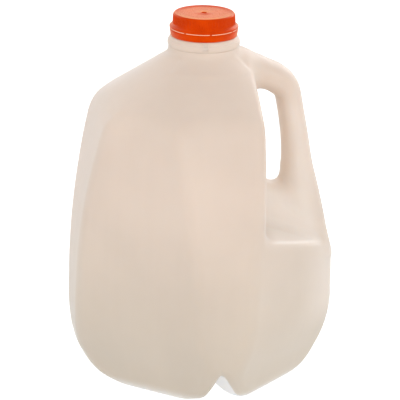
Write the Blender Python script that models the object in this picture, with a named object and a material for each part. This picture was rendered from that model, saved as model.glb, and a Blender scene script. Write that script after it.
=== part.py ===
"""Plastic juice bottle: a one-gallon jug, blow-moulded, with a hollow side handle and a screw cap.

Units are metres and +Z is up.  The neck's axis is the Z axis, the jug stands on z = 0, the
handle is at +X, and the two halves of the mould met on the plane y = 0.
"""
import math

import bmesh
import bpy
from mathutils import Vector

# --- body of the jug -------------------------------------------------------------------
COLUMNS = 48                 # facets round the body
FACET_BLEND = 30.0           # the higher, the sharper the sides meet
BODY_STATIONS = (            # height, corner's chamfer from the axis, chamfer's half width
    (0.0000, 0.0598, 0.0222),
    (0.0100, 0.0724, 0.0158),
    (0.0220, 0.0815, 0.0118),
    (0.0360, 0.0863, 0.0126),
    (0.0520, 0.0882, 0.0172),
    (0.0720, 0.0882, 0.0188),
    (0.0950, 0.0873, 0.0202),
    (0.1200, 0.0850, 0.0224),
    (0.1450, 0.0812, 0.0256),
    (0.1700, 0.0761, 0.0294),
    (0.1950, 0.0707, 0.0330),
    (0.2200, 0.0652, 0.0360),
)
BASE_ROUND = 0.0104          # radius of the edge round the base
FOOT_SHARE = 0.84            # inner edge of the flat foot, as a share of its outer edge
PUSH_UP = 0.0065             # how far the base is pushed up inside its foot
WALL = 0.0008

# --- shoulder and neck -----------------------------------------------------------------
SHOULDER_TOP = 0.2279
SHOULDER_RADIUS = 0.02285    # radius where the shoulder's cone reaches the neck
SHOULDER_SPREAD = 1.485      # how much wider the cone gets for each unit down
SHOULDER_SQUARE = 0.05       # how much more it does so towards the flat sides
SHOULDER_BLEND = 0.00345
COLLAR_TOP = 0.2310
COLLAR_RADIUS = 0.0237
BEAD_FOOT_RADIUS = 0.0234
BEAD_CENTRE = 0.2341
BEAD_RADIUS = 0.0241
BEAD_HALF_HEIGHT = 0.0021
CONE_TOP = 0.2386            # the short cone over the bead, up to the cap's band
CONE_TOP_RADIUS = 0.0219
THREAD_ROOT_RADIUS = 0.0178
LOCK_RING_RADIUS = 0.0192    # ring that the cap's tamper band snaps under
LOCK_RING_HEIGHT = 0.2430
MOUTH_HEIGHT = 0.2524
BORE_RADIUS = 0.0166

# --- handle ----------------------------------------------------------------------------
GAP_WALL_X = 0.0305          # body wall behind the fingers, at the mould's parting plane
GAP_WALL_DRAFT = 0.04        # how much that wall falls back for each unit away from y = 0
LEDGE_HEIGHT = 0.1267        # height of the sloping ledge where its plane meets x = 0
LEDGE_SLOPE = 0.366          # fall of the ledge for each unit towards +X
GAP_FILLET = 0.007
HANDLE_HALF_WIDTH = 0.0142   # half of the handle's size along Y
HANDLE_SIDES = 16
ROOT_TOP_HEIGHT = 0.1635     # height of the handle root's ridge where it meets x = 0
ROOT_SLOPE = 0.61            # fall of that ridge for each unit towards +X
ROOT_START_X = 0.020
ROOT_CLEARANCE = 0.0004      # how far the root's sides stay below the body's own skin

# --- grooves in the base corners ---------------------------------------------------------
GROOVE_HEIGHT = 0.0286       # top of the V groove where it leaves the corner
GROOVE_RADIUS = 0.0840       # distance from the axis at which it has that height
GROOVE_FALL = 0.38           # how much it falls for each unit towards the axis
GROOVE_INNER_RADIUS = 0.0300
GROOVE_OUTER_RADIUS = 0.1200
GROOVE_LEFT_SPREAD = 0.42    # width of the V's -X half for each unit of its depth
GROOVE_RIGHT_SPREAD = 0.95   # the same for its +X half
GROOVE_CENTRE_X = -0.0005
GROOVE_ROUND = 0.0030

# --- cap -------------------------------------------------------------------------------
CAP_COLUMNS = 80
CAP_TOP = 0.2540
CAP_RADIUS = 0.0205
CAP_DISC_RADIUS = 0.0198
RIB_DEPTH = 0.00028
RIB_TOP = 0.2528
SKIRT_TOP = 0.2475
SKIRT_RADIUS = 0.0229
SKIRT_BOTTOM = 0.2442
CAP_BORE = 0.0190
SKIRT_BORE = 0.0203
CAP_PLATE = 0.0012
DIMPLE_RADIUS = 0.0025
DIMPLE_DEPTH = 0.0005
BAND_TOP = 0.2437
BAND_BOTTOM = 0.2389
BAND_RADIUS_TOP = 0.0227
BAND_RADIUS_BOTTOM = 0.0222
BAND_BORE = 0.0211
BRIDGES = 8
BRIDGE_WIDTH = 0.0012


def clear_scene():
    """Remove whatever the scene holds."""
    for old in list(bpy.context.scene.objects):
        bpy.data.objects.remove(old, do_unlink=True)


def new_collection(name):
    """Return a new collection linked to the scene."""
    collection = bpy.data.collections.new(name)
    bpy.context.scene.collection.children.link(collection)
    return collection


def plastic(name, colour, roughness, transmission=0.0):
    """Return a Principled material for a moulded plastic."""
    material = bpy.data.materials.new(name)
    material.use_nodes = True
    shader = material.node_tree.nodes["Principled BSDF"]
    shader.inputs["Base Color"].default_value = (*colour, 1.0)
    shader.inputs["Roughness"].default_value = roughness
    shader.inputs["Metallic"].default_value = 0.0
    shader.inputs["Transmission Weight"].default_value = transmission
    return material


def smooth_minimum(first, second, blend):
    """Return the smaller of two lengths, rounded off where they are alike."""
    low = min(first, second)
    return low - blend * math.log(math.exp((low - first) / blend) + math.exp((low - second) / blend))


def facet_radius(angle, face, corner):
    """Return the radius of a soft octagon: four flat sides and four corner chamfers."""
    total = 0.0
    for quarter in range(4):
        corner_turn = quarter * math.pi / 2
        face_turn = corner_turn + math.pi / 4
        total += (max(math.cos(angle - face_turn), 0.0) / face) ** FACET_BLEND
        total += (max(math.cos(angle - corner_turn), 0.0) / corner) ** FACET_BLEND
    return total ** (-1.0 / FACET_BLEND)


def station_slope(index, column):
    """Return how fast a column of the stations changes with height at one station."""
    before = BODY_STATIONS[max(index - 1, 0)]
    after = BODY_STATIONS[min(index + 1, len(BODY_STATIONS) - 1)]
    return (after[column] - before[column]) / (after[0] - before[0])


def station_value(height, column):
    """Return a column of the stations at any height, on a smooth curve through them."""
    last = len(BODY_STATIONS) - 2
    span = max(index for index in range(last + 1) if index == 0 or BODY_STATIONS[index][0] <= height)
    low = BODY_STATIONS[span]
    high = BODY_STATIONS[span + 1]
    gap = high[0] - low[0]
    share = min(max((height - low[0]) / gap, 0.0), 1.0)
    rest = 1.0 - share
    start = (1.0 + 2.0 * share) * rest ** 2 * low[column] + share * rest ** 2 * gap * station_slope(span, column)
    end = share ** 2 * (3.0 - 2.0 * share) * high[column]
    return start + end - share ** 2 * rest * gap * station_slope(span + 1, column)


def body_radius(angle, height):
    """Return the outer radius of the body and shoulder at an angle and a height."""
    rounding = 0.0
    if height < BASE_ROUND:
        rounding = BASE_ROUND - math.sqrt(max(BASE_ROUND ** 2 - (BASE_ROUND - height) ** 2, 0.0))
    corner = station_value(height, 1)
    face = (corner + station_value(height, 2)) * math.sqrt(0.5)
    walls = facet_radius(angle, face - rounding, corner - rounding)
    spread = SHOULDER_SPREAD * (1.0 + SHOULDER_SQUARE * math.sin(2 * angle) ** 2)
    cone = SHOULDER_RADIUS + (SHOULDER_TOP - height) * spread
    return smooth_minimum(walls, cone, SHOULDER_BLEND)


def body_point(angle, height, inset):
    """Return a point of the body's skin, moved inwards along its normal by the inset."""
    step_turn = math.radians(0.5)
    step_up = 0.0003
    low = max(height - step_up, 0.0)
    high = height + step_up
    radius = body_radius(angle, height)
    slope_turn = (body_radius(angle + step_turn, height) - body_radius(angle - step_turn, height))
    slope_turn /= 2 * step_turn * radius
    slope_up = (body_radius(angle, high) - body_radius(angle, low)) / (high - low)
    outward = Vector((1.0, -slope_turn, -slope_up)).normalized() * inset
    turned_x = radius - outward.x
    turned_y = -outward.y
    return Vector((turned_x * math.cos(angle) - turned_y * math.sin(angle),
                   turned_x * math.sin(angle) + turned_y * math.cos(angle),
                   height - outward.z))


def column_angles(columns):
    """Return the angles of a ring's points."""
    return [2 * math.pi * index / columns for index in range(columns)]


def level_ring(columns, radius, height):
    """Return a round, level ring of points."""
    return [Vector((radius * math.cos(a), radius * math.sin(a), height)) for a in column_angles(columns)]


def body_ring(height, inset):
    """Return the ring of skin points at a height."""
    return [body_point(angle, height, inset) for angle in column_angles(COLUMNS)]


def foot_ring(share, height):
    """Return a ring in the base: the foot's outline, drawn in by a share."""
    return [Vector((share * body_radius(a, 0.0) * math.cos(a), share * body_radius(a, 0.0) * math.sin(a), height))
            for a in column_angles(COLUMNS)]


def loft(name, rings, collection):
    """Skin a list of rings, from bottom to top, and close both ends with a fan."""
    mesh = bmesh.new()
    rows = [[mesh.verts.new(point) for point in ring] for ring in rings]
    count = len(rings[0])
    for lower, upper in zip(rows, rows[1:]):
        for index in range(count):
            following = (index + 1) % count
            mesh.faces.new((lower[index], lower[following], upper[following], upper[index]))
    for row, flip in ((rows[0], True), (rows[-1], False)):
        centre = mesh.verts.new(sum((vert.co for vert in row), Vector()) / count)
        for index in range(count):
            corners = (row[index], row[(index + 1) % count], centre)
            mesh.faces.new(corners[::-1] if flip else corners)
    bmesh.ops.recalc_face_normals(mesh, faces=mesh.faces)
    return mesh_object(name, mesh, collection)


def mesh_object(name, mesh, collection):
    """Turn a bmesh into an object of the collection."""
    data = bpy.data.meshes.new(name)
    mesh.to_mesh(data)
    mesh.free()
    made = bpy.data.objects.new(name, data)
    collection.objects.link(made)
    return made


def combine(target, other, operation):
    """Apply an exact Boolean to the target and remove the other object."""
    cut = target.modifiers.new(operation.title(), "BOOLEAN")
    cut.operation = operation
    cut.solver = "EXACT"
    cut.object = other
    graph = bpy.context.evaluated_depsgraph_get()
    result = bpy.data.meshes.new_from_object(target.evaluated_get(graph))
    target.modifiers.clear()
    target.data = result
    bpy.data.objects.remove(other, do_unlink=True)


def spaced(first, last, count):
    """Return evenly spaced numbers, both ends included."""
    return [first + (last - first) * index / (count - 1) for index in range(count)]


def body_heights():
    """Return the heights of the body's rings, from the floor to the shoulder's top."""
    rounding = [BASE_ROUND * (1 - math.cos(math.radians(turn))) for turn in (0, 24, 44, 66, 90)]
    tuck = spaced(0.018, 0.052, 4)
    sides = spaced(0.068, 0.180, 7)
    shoulder_edge = spaced(0.1880, 0.2060, 4)
    shoulder = spaced(0.2130, SHOULDER_TOP, 3)
    return rounding + tuck + sides + shoulder_edge + shoulder


def neck_rings():
    """Return the turned rings above the shoulder, up to the mouth."""
    profile = [(COLLAR_RADIUS, SHOULDER_TOP + 0.0008), (COLLAR_RADIUS, COLLAR_TOP)]
    for turn in (-90, -50, 0, 50, 90):
        bulge = BEAD_RADIUS - BEAD_FOOT_RADIUS
        profile.append((BEAD_FOOT_RADIUS + bulge * math.cos(math.radians(turn)),
                        BEAD_CENTRE + BEAD_HALF_HEIGHT * math.sin(math.radians(turn))))
    profile.append((CONE_TOP_RADIUS, CONE_TOP))
    profile.append((THREAD_ROOT_RADIUS, CONE_TOP + 0.0010))
    profile.append((THREAD_ROOT_RADIUS, LOCK_RING_HEIGHT - 0.0010))
    profile.append((LOCK_RING_RADIUS, LOCK_RING_HEIGHT - 0.0004))
    profile.append((THREAD_ROOT_RADIUS, LOCK_RING_HEIGHT + 0.0012))
    profile.append((THREAD_ROOT_RADIUS, MOUTH_HEIGHT))
    return [level_ring(COLUMNS, radius, height) for radius, height in profile]


def body_solid(name, inset, collection):
    """Build the body without its handle: the outside, or with an inset the space inside."""
    base = [foot_ring(0.35, PUSH_UP), foot_ring(0.66, PUSH_UP * 0.75), foot_ring(FOOT_SHARE, 0.0)]
    if inset:
        base = [[point + Vector((0.0, 0.0, inset)) for point in ring] for ring in base]
    rings = base + [body_ring(height, inset) for height in body_heights()]
    if inset:
        rings.append(level_ring(COLUMNS, COLLAR_RADIUS - inset, COLLAR_TOP))
        rings.append(level_ring(COLUMNS, BEAD_FOOT_RADIUS - inset, BEAD_CENTRE))
        rings.append(level_ring(COLUMNS, CONE_TOP_RADIUS - inset, CONE_TOP - inset))
        rings.append(level_ring(COLUMNS, BORE_RADIUS, CONE_TOP + 0.0006))
        rings.append(level_ring(COLUMNS, BORE_RADIUS, MOUTH_HEIGHT + 0.005))
    else:
        rings += neck_rings()
    return loft(name, rings, collection)


def gap_ring(y, inset):
    """Return the outline, at one y, of what is cut away round the handle."""
    far = 0.130
    wall = GAP_WALL_X - GAP_WALL_DRAFT * abs(y) - inset
    drop = inset * math.sqrt(1 + LEDGE_SLOPE ** 2)
    ledge_turn = math.atan(LEDGE_SLOPE)
    corner_z = LEDGE_HEIGHT - LEDGE_SLOPE * wall - drop
    reach = GAP_FILLET * math.tan((math.pi / 2 + ledge_turn) / 2 - ledge_turn)
    centre_z = corner_z + reach
    centre_x = wall + GAP_FILLET
    outline = [(wall, 0.270)]
    for turn in spaced(math.pi, 1.5 * math.pi - ledge_turn, 4):
        outline.append((centre_x + GAP_FILLET * math.cos(turn), centre_z + GAP_FILLET * math.sin(turn)))
    outline.append((far, LEDGE_HEIGHT - LEDGE_SLOPE * far - drop))
    outline.append((far, 0.270))
    return [Vector((x, y, z)) for x, z in outline]


def gap_solid(inset, collection):
    """Build the wedge that clears the space round the handle."""
    return loft("gap_cutter", [gap_ring(y, inset) for y in (-0.120, 0.0, 0.120)], collection)


def handle_line(height):
    """Return the x of the handle's outer line at a height below its top bend."""
    return 0.0890 - 0.235 * max(height - 0.0925, 0.0)


def root_ring(x, follow_line, inset):
    """Return a section across the handle's root, which widens downwards."""
    top = ROOT_TOP_HEIGHT - ROOT_SLOPE * x - inset
    floor = 0.075
    half_widths = ((0.0, 0.0), (0.0070, 0.0008), (0.0120, 0.0030), (0.0155, 0.0070), (0.0190, 0.0130))
    right = [(width - (inset if width else 0.0), top - drop) for width, drop in half_widths]
    right.append((0.0240 - inset, floor))
    outline = [(-y, z) for y, z in reversed(right)] + right[1:]
    if follow_line:
        return [Vector((handle_line(z) - 0.0010 - inset, y, z)) for y, z in outline]
    return [Vector((x, y, z)) for y, z in outline]


def root_solid(inset, collection):
    """Build the root that carries the handle's lower end."""
    rings = [root_ring(x, False, inset) for x in (ROOT_START_X, 0.046, 0.066)]
    rings.append(root_ring(0.083, True, inset))
    root = loft("handle_root", rings, collection)
    combine(root, body_solid("root_limit", inset + ROOT_CLEARANCE, collection), "INTERSECT")
    return root


def handle_path():
    """Return the handle's centre line in the plane y = 0, with its half thickness at each point."""
    return [(0.0120, 0.2156, 0.0105), (0.0300, 0.2147, 0.0110), (0.0420, 0.2106, 0.0101),
            (0.0497, 0.2077, 0.0101), (0.0551, 0.2034, 0.0097), (0.0577, 0.1975, 0.0087),
            (0.0601, 0.1859, 0.0084), (0.0630, 0.1690, 0.0088), (0.0649, 0.1530, 0.0097),
            (0.0660, 0.1400, 0.0115), (0.0690, 0.1250, 0.0123), (0.0725, 0.1080, 0.0127),
            (0.0728, 0.0930, 0.0125)]


def handle_solid(inset, collection):
    """Build the hollow handle's outside, or with an inset its inside."""
    path = handle_path()
    rings = []
    for index, (x, z, half_thickness) in enumerate(path):
        before = path[max(index - 1, 0)]
        after = path[min(index + 1, len(path) - 1)]
        along = Vector((after[0] - before[0], 0.0, after[1] - before[1])).normalized()
        side = Vector((along.z, 0.0, -along.x))
        ring = []
        for turn in column_angles(HANDLE_SIDES):
            across = (half_thickness - inset) * math.cos(turn)
            y = (HANDLE_HALF_WIDTH - inset) * math.sin(turn)
            ring.append(Vector((x, 0.0, z)) + side * across + Vector((0.0, y, 0.0)))
        rings.append(ring)
    return loft("handle", rings, collection)


def groove_section(radius, inset):
    """Return the V section of a base groove at a distance from the axis, with a rounded top."""
    top = GROOVE_HEIGHT + (radius - GROOVE_RADIUS) * GROOVE_FALL + inset * 1.3
    bottom = -0.030
    centre = top - GROOVE_ROUND
    left_lean = math.atan(GROOVE_LEFT_SPREAD)
    right_lean = math.atan(GROOVE_RIGHT_SPREAD)
    outline = []
    for turn in spaced(left_lean - math.pi / 2, math.pi / 2 - right_lean, 6):
        outline.append((GROOVE_ROUND * math.sin(turn), centre + GROOVE_ROUND * math.cos(turn)))
    left_x, left_z = outline[0]
    right_x, right_z = outline[-1]
    outline.append((right_x + (right_z - bottom) * GROOVE_RIGHT_SPREAD, bottom))
    outline.insert(0, (left_x - (left_z - bottom) * GROOVE_LEFT_SPREAD, bottom))
    return [Vector((x + GROOVE_CENTRE_X, -radius, z)) for x, z in outline]


def groove_solid(side, inset, collection):
    """Build the V-shaped cutter of one base corner's groove, at -Y or +Y."""
    rings = [groove_section(radius, inset) for radius in (GROOVE_INNER_RADIUS - inset, GROOVE_OUTER_RADIUS)]
    rings = [[Vector((point.x, point.y * side, point.z)) for point in ring] for ring in rings]
    return loft("groove_cutter", rings, collection)


def jug_skin(name, inset, collection):
    """Build the jug's outside, or with an inset the space inside it."""
    skin = body_solid(name, inset, collection)
    combine(skin, gap_solid(inset, collection), "DIFFERENCE")
    combine(skin, root_solid(inset, collection), "UNION")
    combine(skin, handle_solid(inset, collection), "UNION")
    for side in (-1.0, 1.0):
        combine(skin, groove_solid(side, inset, collection), "DIFFERENCE")
    return skin


def build_jug(collection):
    """Build the jug as one thin wall, open at the mouth."""
    jug = jug_skin("jug", 0.0, collection)
    combine(jug, jug_skin("jug_inside", WALL, collection), "DIFFERENCE")
    jug.data.materials.clear()
    jug.data.materials.append(plastic("natural_plastic", (0.78, 0.66, 0.56), 0.42, 0.25))
    finish(jug)
    return jug


def finish(made):
    """Shade an object smooth, with its edges kept sharp."""
    made.data.shade_smooth()
    made.data.set_sharp_from_angle(angle=math.radians(35))


def ribbed_ring(radius, height, depth):
    """Return a ring whose every other point stands out, for the cap's ribs."""
    ring = []
    for index, angle in enumerate(column_angles(CAP_COLUMNS)):
        out = radius + (depth if index % 2 else -depth)
        ring.append(Vector((out * math.cos(angle), out * math.sin(angle), height)))
    return ring


def ring_body(name, rings, collection):
    """Skin rings that run round a turned section and come back to the first one."""
    mesh = bmesh.new()
    rows = [[mesh.verts.new(point) for point in ring] for ring in rings]
    count = len(rings[0])
    for index, row in enumerate(rows):
        following = rows[(index + 1) % len(rows)]
        for column in range(count):
            nearby = (column + 1) % count
            mesh.faces.new((row[column], row[nearby], following[nearby], following[column]))
    bmesh.ops.recalc_face_normals(mesh, faces=mesh.faces)
    return mesh_object(name, mesh, collection)


def cap_shell(collection):
    """Build the cap above its slit, as one closed turned solid with ribs on its side."""
    rings = [level_ring(CAP_COLUMNS, CAP_BORE * 0.5, CAP_TOP - CAP_PLATE),
             level_ring(CAP_COLUMNS, CAP_BORE, CAP_TOP - CAP_PLATE),
             level_ring(CAP_COLUMNS, CAP_BORE, SKIRT_TOP),
             level_ring(CAP_COLUMNS, SKIRT_BORE, SKIRT_TOP - 0.0012),
             level_ring(CAP_COLUMNS, SKIRT_BORE, SKIRT_BOTTOM),
             level_ring(CAP_COLUMNS, SKIRT_RADIUS - 0.0003, SKIRT_BOTTOM),
             level_ring(CAP_COLUMNS, SKIRT_RADIUS, SKIRT_BOTTOM + 0.0009),
             ribbed_ring(CAP_RADIUS + 0.0003, SKIRT_TOP, RIB_DEPTH),
             ribbed_ring(CAP_RADIUS, RIB_TOP, RIB_DEPTH),
             level_ring(CAP_COLUMNS, CAP_DISC_RADIUS, CAP_TOP),
             level_ring(CAP_COLUMNS, DIMPLE_RADIUS, CAP_TOP),
             level_ring(CAP_COLUMNS, DIMPLE_RADIUS * 0.8, CAP_TOP - DIMPLE_DEPTH)]
    return loft("cap", rings, collection)


def band_ring(collection):
    """Build the tamper band below the slit."""
    columns = CAP_COLUMNS // 2
    rings = [level_ring(columns, BAND_RADIUS_TOP, BAND_TOP),
             level_ring(columns, BAND_RADIUS_BOTTOM, BAND_BOTTOM),
             level_ring(columns, BAND_BORE, BAND_BOTTOM),
             level_ring(columns, BAND_BORE, BAND_TOP)]
    return ring_body("band", rings, collection)


def bridge(turn, collection):
    """Build one of the small bridges that hold the band to the cap."""
    mesh = bmesh.new()
    bmesh.ops.create_cube(mesh, size=1.0)
    middle = (BAND_BORE + BAND_RADIUS_TOP) / 2
    depth = (BAND_RADIUS_TOP - BAND_BORE) * 0.5
    height = SKIRT_BOTTOM - BAND_TOP + 0.0006
    for vert in mesh.verts:
        x = middle + vert.co.x * depth
        y = vert.co.y * BRIDGE_WIDTH
        z = (SKIRT_BOTTOM + BAND_TOP) / 2 + vert.co.z * height
        vert.co = Vector((x * math.cos(turn) - y * math.sin(turn), x * math.sin(turn) + y * math.cos(turn), z))
    return mesh_object("bridge", mesh, collection)


def build_cap(collection):
    """Build the screw cap with its tamper band, which is one moulding."""
    cap = cap_shell(collection)
    combine(cap, band_ring(collection), "UNION")
    for index in range(BRIDGES):
        combine(cap, bridge(2 * math.pi * (index + 0.5) / BRIDGES, collection), "UNION")
    cap.data.materials.clear()
    cap.data.materials.append(plastic("orange_plastic", (0.80, 0.055, 0.004), 0.32))
    finish(cap)
    return cap


def main():
    """Build the whole object."""
    clear_scene()
    collection = new_collection("juice_jug")
    build_jug(collection)
    build_cap(collection)


main()
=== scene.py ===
"""Plastic juice bottle: an empty one-gallon handle jug with a ribbed orange screw cap.

Everything is in metres with +Z up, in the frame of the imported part: the neck's axis is the Z
axis, the jug stands on z = 0, the handle is at +X and the mould halves met on y = 0.
"""
import functools
import logging
import math
from collections.abc import Callable
from dataclasses import dataclass, field
from enum import Enum

import bmesh
import bpy
import numpy as np
from mathutils import Matrix, Vector


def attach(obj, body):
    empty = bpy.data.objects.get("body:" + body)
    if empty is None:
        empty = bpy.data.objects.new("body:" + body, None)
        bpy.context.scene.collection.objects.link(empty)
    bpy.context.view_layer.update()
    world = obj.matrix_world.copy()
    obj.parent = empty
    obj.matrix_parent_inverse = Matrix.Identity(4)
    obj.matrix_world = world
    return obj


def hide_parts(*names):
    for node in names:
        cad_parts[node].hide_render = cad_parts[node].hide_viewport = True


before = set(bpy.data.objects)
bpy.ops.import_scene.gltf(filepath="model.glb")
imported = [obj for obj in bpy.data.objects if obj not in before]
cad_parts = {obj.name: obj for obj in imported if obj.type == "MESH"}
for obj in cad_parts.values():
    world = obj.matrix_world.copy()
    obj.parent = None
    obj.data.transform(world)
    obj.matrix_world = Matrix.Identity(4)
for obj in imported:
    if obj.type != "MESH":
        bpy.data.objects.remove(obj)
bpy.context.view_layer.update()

log = logging.getLogger("juice_bottle")

Field = Callable[[np.ndarray], np.ndarray]
Profile = list[tuple[float, float]]  # radius and height
Colour = tuple[float, float, float, float]
Span = tuple[float, float]  # where a change starts and ends, or its two results
Rows = tuple[tuple[float, float], ...]  # a profile's fixed rows, or steps out and up

ROOT_BODY = "root"
FAR = 1.0  # a distance that stands for nowhere near
TINY = 1e-6
DIAGONAL = math.sqrt(0.5)
FULL_TURN = 2.0 * math.pi
WHITE: Colour = (1.0, 1.0, 1.0, 1.0)
NOISE_SPAN: Span = (0.30, 0.70)  # what most of a noise texture lies in
STREAK_SPAN: Span = (0.25, 0.75)


# --- signed distances ------------------------------------------------------------------


def fillet_join(first: np.ndarray, second: np.ndarray, radius: np.ndarray | float) -> np.ndarray:
    """Join two solids with a concave fillet.

    Args:
        first: Signed distances to the first solid, negative inside.
        second: Signed distances to the second solid.
        radius: The fillet's size, one number or one for each point.

    Returns:
        Signed distances to the joined solid.
    """
    reach_first = np.maximum(radius - first, 0.0)
    reach_second = np.maximum(radius - second, 0.0)
    return np.maximum(radius, np.minimum(first, second)) - np.hypot(reach_first, reach_second)


def round_overlap(first: np.ndarray, second: np.ndarray, radius: np.ndarray | float) -> np.ndarray:
    """Keep what two solids share, with a rounded outer edge.

    Args:
        first: Signed distances to the first solid, negative inside.
        second: Signed distances to the second solid.
        radius: The edge's size, one number or one for each point.

    Returns:
        Signed distances to the shared solid.
    """
    reach_first = np.maximum(radius + first, 0.0)
    reach_second = np.maximum(radius + second, 0.0)
    return np.minimum(-radius, np.maximum(first, second)) + np.hypot(reach_first, reach_second)


def smooth_rise(value: np.ndarray, low: float, high: float) -> np.ndarray:
    """Rise smoothly from 0 at low to 1 at high.

    Args:
        value: The numbers to map.
        low: Where the rise starts.
        high: Where it ends; it may lie below low.

    Returns:
        Numbers from 0 to 1.
    """
    share = np.clip((value - low) / (high - low), 0.0, 1.0)
    return share * share * (3.0 - 2.0 * share)


def slope_of(rule: Callable[[np.ndarray], np.ndarray], height: np.ndarray) -> np.ndarray:
    """Return how fast a rule of the height changes at each height."""
    step = 0.0002
    return (rule(height + step) - rule(height - step)) / (2.0 * step)


def curve_through(knots: np.ndarray, along: int, step: float) -> np.ndarray:
    """Run a smooth curve through rows of numbers.

    Args:
        knots: The rows, in rising order of one column.
        along: The column that rises.
        step: How closely that column is spaced in the result.

    Returns:
        The curve, with one row for each column of the knots.
    """
    base = knots[:, along]
    wanted = np.arange(base[0], base[-1] + step / 2, step)
    gaps = np.diff(base)[:, None]
    rises = np.diff(knots, axis=0) / gaps
    inner = (rises[:-1] * gaps[1:] + rises[1:] * gaps[:-1]) / (gaps[:-1] + gaps[1:])
    slopes = np.vstack((rises[:1], inner, rises[-1:]))
    span = np.clip(np.searchsorted(base, wanted) - 1, 0, len(gaps) - 1)
    gap = gaps[span]
    t = (wanted[:, None] - base[span, None]) / gap
    start = (1.0 + 2.0 * t) * (1.0 - t) ** 2 * knots[span] + t * (1.0 - t) ** 2 * gap * slopes[span]
    end = t * t * (3.0 - 2.0 * t) * knots[span + 1] + t * t * (t - 1.0) * gap * slopes[span + 1]
    return (start + end).T


# --- the jug's sub-assemblies, as fields ------------------------------------------------


@dataclass(frozen=True)
class SideWalls:
    """Four sides with a chamfer at each corner, standing on a pushed-up base."""

    edge_round: float = 0.0038
    base_round: float = 0.0104
    push_up: float = 0.0065
    foot_inner_radius: float = 0.0400
    table_step: float = 0.0005
    # height, chamfer's distance from the axis, chamfer's half width and the sides' crown
    stations: tuple[tuple[float, float, float, float], ...] = (
        (0.0000, 0.0580, 0.0225, 0.3),
        (0.0100, 0.0716, 0.0150, 0.3),
        (0.0220, 0.0811, 0.0100, 0.3),
        (0.0360, 0.0860, 0.0126, 0.3),
        (0.0520, 0.0877, 0.0172, 0.3),
        (0.0720, 0.0876, 0.0188, 0.3),
        (0.0950, 0.0868, 0.0202, 0.3),
        (0.1200, 0.0846, 0.0224, 0.0),
        (0.1450, 0.0809, 0.0256, -0.5),
        (0.1700, 0.0759, 0.0294, -1.0),
        (0.1950, 0.0698, 0.0322, -1.4),
        (0.2200, 0.0650, 0.0360, -1.4),
    )

    @functools.lru_cache(maxsize=1)
    def table(self) -> np.ndarray:
        """Space the stations closely.

        Returns:
            Heights, the chamfer's and the sides' distances from the axis, and crowns, as rows.
        """
        rows = curve_through(np.array(self.stations), 0, self.table_step)
        height, chamfer, half_width, crown = rows
        bow = crown * ((chamfer - half_width) * DIAGONAL) ** 2
        return np.array((height, chamfer, (chamfer + half_width) * DIAGONAL + bow, crown))

    def corner(self, height: np.ndarray) -> np.ndarray:
        """Return the distance of a corner's chamfer from the axis at each height."""
        return np.interp(height, self.table()[0], self.table()[1])

    def face(self, height: np.ndarray) -> np.ndarray:
        """Return the distance of a flat side from the axis at each height."""
        return np.interp(height, self.table()[0], self.table()[2])

    def crown(self, height: np.ndarray) -> np.ndarray:
        """Return how strongly the sides bulge at each height."""
        return np.interp(height, self.table()[0], self.table()[3])

    def field(self, points: np.ndarray) -> np.ndarray:
        """Measure how far points are from the walls and the base.

        Args:
            points: Rows of x, y and z.

        Returns:
            Signed distances, negative inside.
        """
        across, along, height = np.abs(points[:, 0]), np.abs(points[:, 1]), points[:, 2]
        sideways = (across - along) * DIAGONAL
        side = (across + along) * DIAGONAL - self.face(height) + self.crown(height) * sideways**2
        side /= np.hypot(1.0, slope_of(self.face, height))
        chamfer = np.maximum(across, along) - self.corner(height)
        chamfer /= np.hypot(1.0, slope_of(self.corner, height))
        walls = round_overlap(side, chamfer, self.edge_round)
        radius = np.hypot(across, along) / self.foot_inner_radius
        dome = self.push_up * np.maximum(1.0 - radius**4, 0.0)
        return round_overlap(walls, dome - height, self.base_round)


@dataclass(frozen=True)
class Shoulder:
    """The cone that closes the body, the collar above it and the plain plaque on its front."""

    top_height: float = 0.2279
    top_radius: float = 0.02285
    spread: float = 1.485
    square: float = 0.03
    edge_round: float = 0.0070
    collar_radius: float = 0.0237
    collar_depth: float = 0.0080
    collar_fillet: float = 0.0022
    plaque_outer: float = 0.0375
    plaque_raise: float = 0.0007
    plaque_edge: float = 0.0008
    plaque_turn: float = math.radians(-90.0)
    plaque_half_turn: float = math.radians(48.0)
    plaque_end: float = 0.04

    def cone(self, points: np.ndarray) -> np.ndarray:
        """Measure how far points are from the cone.

        Args:
            points: Rows of x, y and z.

        Returns:
            Signed distances, negative inside.
        """
        radius = np.hypot(points[:, 0], points[:, 1])
        towards_side = (2.0 * points[:, 0] * points[:, 1] / np.maximum(radius, TINY) ** 2) ** 2
        spread = self.spread * (1.0 + self.square * towards_side)
        allowed = self.top_radius + (self.top_height - points[:, 2]) * spread
        return (radius - allowed) / math.hypot(1.0, self.spread) - self.plaque(points)

    def plaque(self, points: np.ndarray) -> np.ndarray:
        """Raise the bare plaque on the cone's front.

        Args:
            points: Rows of x, y and z.

        Returns:
            How far the plaque stands proud of the cone at each point.
        """
        radius = np.hypot(points[:, 0], points[:, 1])
        turn = np.arctan2(points[:, 1], points[:, 0]) - self.plaque_turn
        turn = np.abs((turn + math.pi) % FULL_TURN - math.pi)
        rim, end = self.plaque_outer, self.plaque_half_turn
        outer = smooth_rise(radius, rim + self.plaque_edge, rim - self.plaque_edge)
        ends = smooth_rise(turn, end + self.plaque_end, end - self.plaque_end)
        return self.plaque_raise * outer * ends

    def collar(self, points: np.ndarray, top: float) -> np.ndarray:
        """Measure how far points are from the short cylinder under the neck.

        Args:
            points: Rows of x, y and z.
            top: The height of its upper end.

        Returns:
            Signed distances, negative inside.
        """
        radius = np.hypot(points[:, 0], points[:, 1])
        ends = np.maximum(points[:, 2] - top, top - self.collar_depth - points[:, 2])
        return np.maximum(radius - self.collar_radius, ends)


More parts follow.
